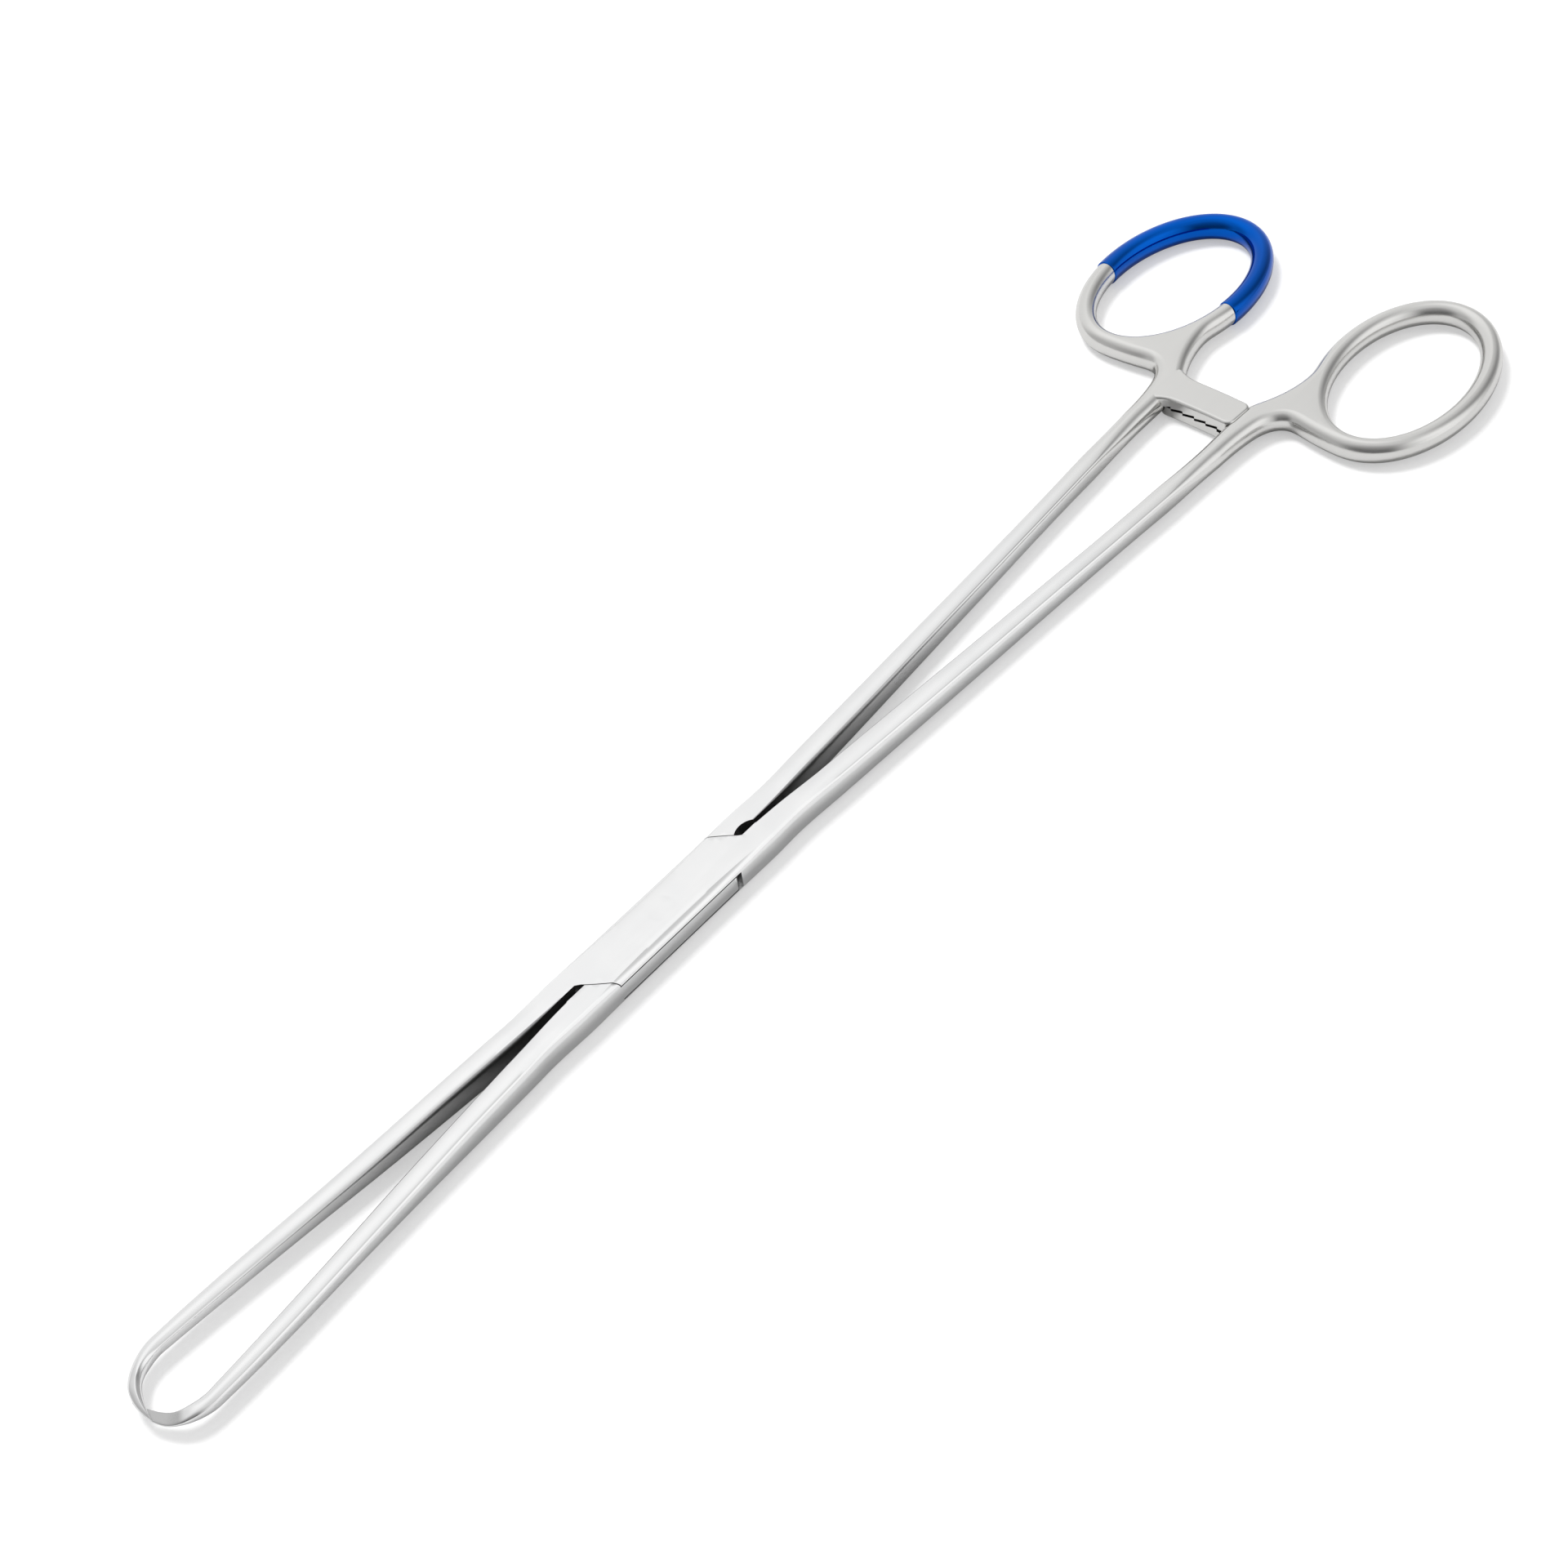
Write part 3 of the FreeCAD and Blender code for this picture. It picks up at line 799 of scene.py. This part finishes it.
def dress(piece, body, node, material):
    """Cleans a finished skin, gives it its material and puts it in its CAD node's place."""
    clean = bmesh.new()
    clean.from_mesh(piece.data)
    bmesh.ops.remove_doubles(clean, verts=clean.verts, dist=1e-6)
    bmesh.ops.dissolve_degenerate(clean, edges=clean.edges, dist=1e-7)
    bmesh.ops.recalc_face_normals(clean, faces=clean.faces)
    clean.to_mesh(piece.data)
    clean.free()
    piece.data.materials.clear()
    piece.data.materials.append(material)
    piece.data.polygons.foreach_set("material_index", [0] * len(piece.data.polygons))
    piece.data.polygons.foreach_set("use_smooth", [True] * len(piece.data.polygons))
    piece.data.set_sharp_from_angle(angle=CREASE)
    even = piece.modifiers.new("even_normals", "WEIGHTED_NORMAL")
    even.keep_sharp = True
    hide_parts(node)
    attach(piece, body)


# ---- materials ----

class Value:
    """A shader socket that can be used in sums."""

    def __init__(self, paint, socket):
        self.paint = paint
        self.socket = socket

    def _sum(self, operation, first, second):
        return self.paint.node("ShaderNodeMath", {"operation": operation}, {0: first, 1: second})

    def __add__(self, other):
        return self._sum("ADD", self, other)

    def __radd__(self, other):
        return self._sum("ADD", other, self)

    def __sub__(self, other):
        return self._sum("SUBTRACT", self, other)

    def __rsub__(self, other):
        return self._sum("SUBTRACT", other, self)

    def __mul__(self, other):
        return self._sum("MULTIPLY", self, other)

    def __rmul__(self, other):
        return self._sum("MULTIPLY", other, self)


class Paint:
    """A material being made, or the room's light."""

    def __init__(self, name, tree=None, out="ShaderNodeOutputMaterial"):
        self.material = None
        if tree is None:
            self.material = bpy.data.materials.new(name)
            self.material.use_nodes = True
            tree = self.material.node_tree
        self.tree = tree
        self.tree.nodes.clear()
        self.out = self.tree.nodes.new(out)

    def node(self, kind, settings=None, inputs=None, output=0):
        made = self.tree.nodes.new(kind)
        for key, value in (settings or {}).items():
            if key == "stops":
                ramp = made.color_ramp
                while len(ramp.elements) < len(value):
                    ramp.elements.new(0.5)
                for element, (position, colour) in zip(ramp.elements, value):
                    element.position = position
                    element.color = (*colour, 1)
            else:
                setattr(made, key, value)
        for key, value in (inputs or {}).items():
            if isinstance(value, Value):
                self.tree.links.new(value.socket, made.inputs[key])
            else:
                made.inputs[key].default_value = value
        return Value(self, made.outputs[output])

    def place(self):
        return self.node("ShaderNodeTexCoord", output="Object")

    def axis(self, vector, number):
        return self.node("ShaderNodeSeparateXYZ", {}, {0: vector}, output=number)

    def unsigned(self, value):
        return self.node("ShaderNodeMath", {"operation": "ABSOLUTE"}, {0: value})

    def stretched(self, scale):
        return self.node("ShaderNodeMapping", {}, {"Vector": self.place(), "Scale": scale})

    def noise(self, vector, scale, detail=3.0, roughness=0.5):
        return self.node("ShaderNodeTexNoise", {}, {"Vector": vector, "Scale": scale,
                         "Detail": detail, "Roughness": roughness})

    def between(self, value, low, high, to_low=0.0, to_high=1.0):
        return self.node("ShaderNodeMapRange", {"interpolation_type": "SMOOTHSTEP"},
                         {0: value, 1: low, 2: high, 3: to_low, 4: to_high})

    def mix_colour(self, factor, first, second):
        return self.node("ShaderNodeMix", {"data_type": "RGBA"}, {0: factor, 6: first, 7: second}, output=2)

    def bump(self, height, distance, strength=1.0):
        return self.node("ShaderNodeBump", {}, {"Height": height, "Distance": distance, "Strength": strength})

    def finish(self, inputs):
        shader = self.node("ShaderNodeBsdfPrincipled", {}, inputs)
        self.tree.links.new(shader.socket, self.out.inputs[0])
        return self.material


# where the steel's finish and its painted shade change, in metres from the pivot, the middle line or mid height
SATIN_FROM, SATIN_FULL = -0.075, -0.125
INNER_SHADE_FULL, INNER_SHADE_END = 0.03, 0.08
INNER_SHADE_NEAR, INNER_SHADE_FAR = 0.003, 0.0045
GROUND_SHADE_START, GROUND_SHADE_DONE = 0.079, 0.0862
GROUND_SHADE_LEVEL, GROUND_SHADE_EDGE = 0.0003, 0.0007


def instrument_steel():
    """Polished jaws and lock, satin handles; the inner faces between the bars near the lock and the hooks'
    ground faces are rougher and painted darker as painted shade.
    """
    paint = Paint("instrument_steel")
    place = paint.place()
    facing = paint.node("ShaderNodeTexCoord", output="Normal")
    along, across, level = (paint.axis(place, number) for number in range(3))
    beside = paint.node("ShaderNodeMath", {"operation": "SIGN"}, {0: across})

    satin = paint.between(along, SATIN_FULL, SATIN_FROM, 1.0, 0.0)
    # painted shade: inner faces between the bars near the lock, turned towards the middle line, are darkened
    # where the bars shade each other; the same mask makes them rougher
    turned_in = paint.between(paint.axis(facing, 1) * beside, -0.75, -0.5, 1.0, 0.0)
    near_lock = paint.between(paint.unsigned(along), INNER_SHADE_FULL, INNER_SHADE_END, 1.0, 0.0)
    near_middle = paint.between(paint.unsigned(across), INNER_SHADE_NEAR, INNER_SHADE_FAR, 1.0, 0.0)
    unpolished_inner_shade = turned_in * near_lock * near_middle
    # painted shade on the hooks' flat ground faces at mid height near the tip; the same mask makes them rougher
    flat = paint.between(paint.unsigned(paint.axis(facing, 2)), 0.75, 0.95)
    half_way = paint.between(paint.unsigned(level - MID * MM), GROUND_SHADE_LEVEL, GROUND_SHADE_EDGE, 1.0, 0.0)
    ground = flat * half_way * paint.between(along, GROUND_SHADE_START, GROUND_SHADE_DONE)

    grain = paint.noise(paint.stretched((40, 900, 900)), 1.0, 1.0, 0.5)
    mottle = paint.noise(place, 130.0, 3.0, 0.55)
    wipe = paint.noise(paint.stretched((60, 260, 260)), 1.0, 2.0)
    polished = paint.mix_colour(paint.between(mottle, 0.3, 0.7), (0.87, 0.87, 0.87, 1), (0.84, 0.842, 0.845, 1))
    warm = paint.mix_colour(satin, polished, (0.73, 0.725, 0.71, 1))
    brushed = paint.mix_colour(paint.between(grain, 0.35, 0.75, 0.0, 0.06), warm, (0.66, 0.66, 0.655, 1))
    # painted shade: the hooks' flat ground faces are darkened to 0.5 grey
    with_hook_shade = paint.mix_colour(ground, brushed, (0.5, 0.5, 0.5, 1))
    # painted shade: the inner faces between the bars near the lock are darkened to 0.36 grey
    colour = paint.mix_colour(unpolished_inner_shade, with_hook_shade, (0.36, 0.36, 0.36, 1))

    rough = 0.12 + satin * 0.07 + unpolished_inner_shade * 0.2 + ground * 0.15
    rough = rough + paint.between(wipe, 0.3, 0.7, 0.0, 0.05) + (grain - 0.5) * 0.015
    normal = paint.bump(mottle + wipe * 0.5, 0.00001, 0.05)
    return paint.finish({"Base Color": colour, "Metallic": 1.0, "Roughness": rough, "Normal": normal})


def rivet_steel():
    paint = Paint("rivet_steel")
    grain = paint.noise(paint.stretched((60, 2600, 2600)), 1.0, 4.0, 0.6)
    mottle = paint.noise(paint.place(), 300.0, 3.0)
    colour = paint.mix_colour(paint.between(mottle, 0.3, 0.7), (0.86, 0.86, 0.86, 1), (0.82, 0.822, 0.825, 1))
    rough = 0.14 + paint.between(grain, 0.3, 0.7, 0.0, 0.05)
    return paint.finish({"Base Color": colour, "Metallic": 1.0, "Roughness": rough,
                         "Normal": paint.bump(grain, 0.000006, 0.25)})


def dip_plastic():
    """Deep blue skin with a soft orange-peel gloss and faint runs."""
    paint = Paint("dip_coat")
    peel = paint.noise(paint.place(), 420.0, 2.0)
    cloud = paint.noise(paint.place(), 70.0, 2.0)
    colour = paint.mix_colour(paint.between(cloud, 0.3, 0.7), (0.0, 0.105, 0.56, 1), (0.0, 0.085, 0.46, 1))
    rough = 0.06 + paint.between(peel, 0.3, 0.7, 0.0, 0.03)
    return paint.finish({"Base Color": colour, "Metallic": 0.92, "Roughness": rough, "IOR": 1.4,
                         "Normal": paint.bump(peel + cloud * 0.6, 0.00002, 0.2)})


STEEL = instrument_steel()
RIVET = rivet_steel()
VINYL = dip_plastic()

# ---- the instrument ----

plain_handle = handle("plain_handle")
female = box_lock("female_forging")
male = lock_tongue("male_forging")
hook_below = jaw("hook_below")
hook_above = half_turn(twin(hook_below, "hook_above"), "X")
coated_handle = half_turn(twin(plain_handle, "coated_handle"), "X")
join(female, plain_handle, hook_above)
join(male, coated_handle, hook_below)
cut(female, rivet("seat", 0.5))
bore_radius = RIVET_RADIUS + RIVET_CLEARANCE
bore = loft("bore", [circle(bore_radius, -1), circle(bore_radius, 2 * MID + 1)])
cut(male, bore, shank_relief("relief"))
ease_edges(female, 0.15, in_lock)
ease_edges(male, 0.12, in_lock)
dress(female, "female", "female_half", STEEL)
dress(male, "male", "male_half", STEEL)

pin = rivet("flush_rivet")
dress(pin, "female", "pivot_pin", RIVET)

coat = half_turn(dip_coat("dip_coat"), "X")
dress(coat, "male", "ring_coating", VINYL)

# ---- camera, floor and light ----

FRAME_PIXELS = 1920
FOCAL_PIXELS = 2878.723
CAMERA_AIM = (-26.61, -2.571, MID)
CAMERA_AWAY = 316.977
CAMERA_TURN, CAMERA_RISE, CAMERA_ROLL = 0.848, 0.849, -0.169
SHADOW_LIFT = 0.42


def look_through():
    """Pinhole camera at the photograph's place, aim and roll."""
    aim = Vector(CAMERA_AIM) * MM
    turn, rise, roll = CAMERA_TURN, CAMERA_RISE, CAMERA_ROLL
    back = Vector((math.cos(rise) * math.cos(turn), math.cos(rise) * math.sin(turn), math.sin(rise)))
    right = (-back).cross(Vector((0, 0, 1))).normalized()
    up = right.cross(-back)
    across = right * math.cos(roll) + up * math.sin(roll)
    over = up * math.cos(roll) - right * math.sin(roll)
    lens = bpy.data.cameras.new("camera")
    lens.sensor_width = 36.0
    lens.lens = lens.sensor_width * FOCAL_PIXELS / FRAME_PIXELS
    lens.clip_start = 0.01
    lens.clip_end = 20
    camera = bpy.data.objects.new("camera", lens)
    facing = Matrix((across, over, back)).transposed().to_4x4()
    camera.matrix_world = Matrix.Translation(aim + back * CAMERA_AWAY * MM) @ facing
    bpy.context.scene.collection.objects.link(camera)
    bpy.context.scene.camera = camera


def softbox(name, place, aim, size, power):
    lamp = bpy.data.lights.new(name, "AREA")
    lamp.shape = "RECTANGLE"
    lamp.size, lamp.size_y = size
    lamp.energy = power
    holder = bpy.data.objects.new(name, lamp)
    place = Vector(place)
    holder.location = place
    holder.rotation_mode = "QUATERNION"
    holder.rotation_quaternion = (Vector(aim) - place).to_track_quat("-Z", "Y")
    bpy.context.scene.collection.objects.link(holder)
    return holder


def white_floor():
    """Paper that shows white to the camera with a light shadow, and pale grey in the steel."""
    reach, below = 1500, -0.02
    corners = [(x * reach, y * reach, below) for x, y in ((-1, -1), (1, -1), (1, 1), (-1, 1))]
    floor = new_piece("floor", corners, [(0, 1, 2, 3)])
    paint = Paint("floor_paper")
    fibre = paint.noise(paint.place(), 900.0, 3.0)
    paper = paint.mix_colour(fibre, (0.65, 0.65, 0.65, 1), (0.67, 0.67, 0.67, 1))
    seen = paint.node("ShaderNodeLightPath", output="Is Camera Ray")
    paper = paint.node("ShaderNodeBsdfDiffuse", {}, {"Color": paint.mix_colour(seen, paper, (1, 1, 1, 1))})
    bright = paint.node("ShaderNodeEmission", {}, {"Color": (1, 1, 1, 1), "Strength": 1.0})
    lit = paint.node("ShaderNodeMixShader", {}, {0: seen * SHADOW_LIFT, 1: paper, 2: bright})
    paint.tree.links.new(lit.socket, paint.out.inputs[0])
    floor.data.materials.append(paint.material)


# what the room sends from each direction: aim, reach (cosines: edge, full), level added
ROOM = (
    ((-0.46, -0.73, 0.5), (0.35, 0.9), 0.36),
    ((-0.25, 0.94, 0.2), (0.7, 0.96), 0.54),
    ((0.05, 0.1, 0.99), (0.35, 0.95), 0.22),
    ((0.72, 0.6, 0.3), (0.45, 0.92), -0.38),
    ((-0.8, 0.12, 0.6), (0.8, 0.97), -0.27),
)
ROOM_LEVEL = 0.53


def studio():
    """A light tent: brighter behind and to the right, dim towards the camera, white where the camera sees it."""
    world = bpy.data.worlds.new("studio")
    world.use_nodes = True
    bpy.context.scene.world = world
    paint = Paint("studio", world.node_tree, "ShaderNodeOutputWorld")
    towards = paint.node("ShaderNodeTexCoord", output="Generated")
    level = ROOM_LEVEL
    for aim, (edge, full), added in ROOM:
        aim = Vector(aim).normalized()
        facing = paint.node("ShaderNodeVectorMath", {"operation": "DOT_PRODUCT"},
                            {0: towards, 1: aim}, output="Value")
        level = paint.between(facing, edge, full, 0.0, added) + level
    sky = paint.node("ShaderNodeBackground", {}, {"Color": level, "Strength": 1.0})
    white = paint.node("ShaderNodeBackground", {}, {"Color": (1, 1, 1, 1), "Strength": 1.0})
    seen = paint.node("ShaderNodeLightPath", output="Is Camera Ray")
    backdrop = paint.node("ShaderNodeMixShader", {}, {0: seen, 1: sky, 2: white})
    paint.tree.links.new(backdrop.socket, paint.out.inputs[0])


look_through()
white_floor()
studio()
key = softbox("key", (-0.1, -0.46, 0.88), (-0.03, 0, 0), (0.32, 0.32), 8.0)
key.visible_glossy = False
bpy.context.scene.view_settings.view_transform = "Standard"
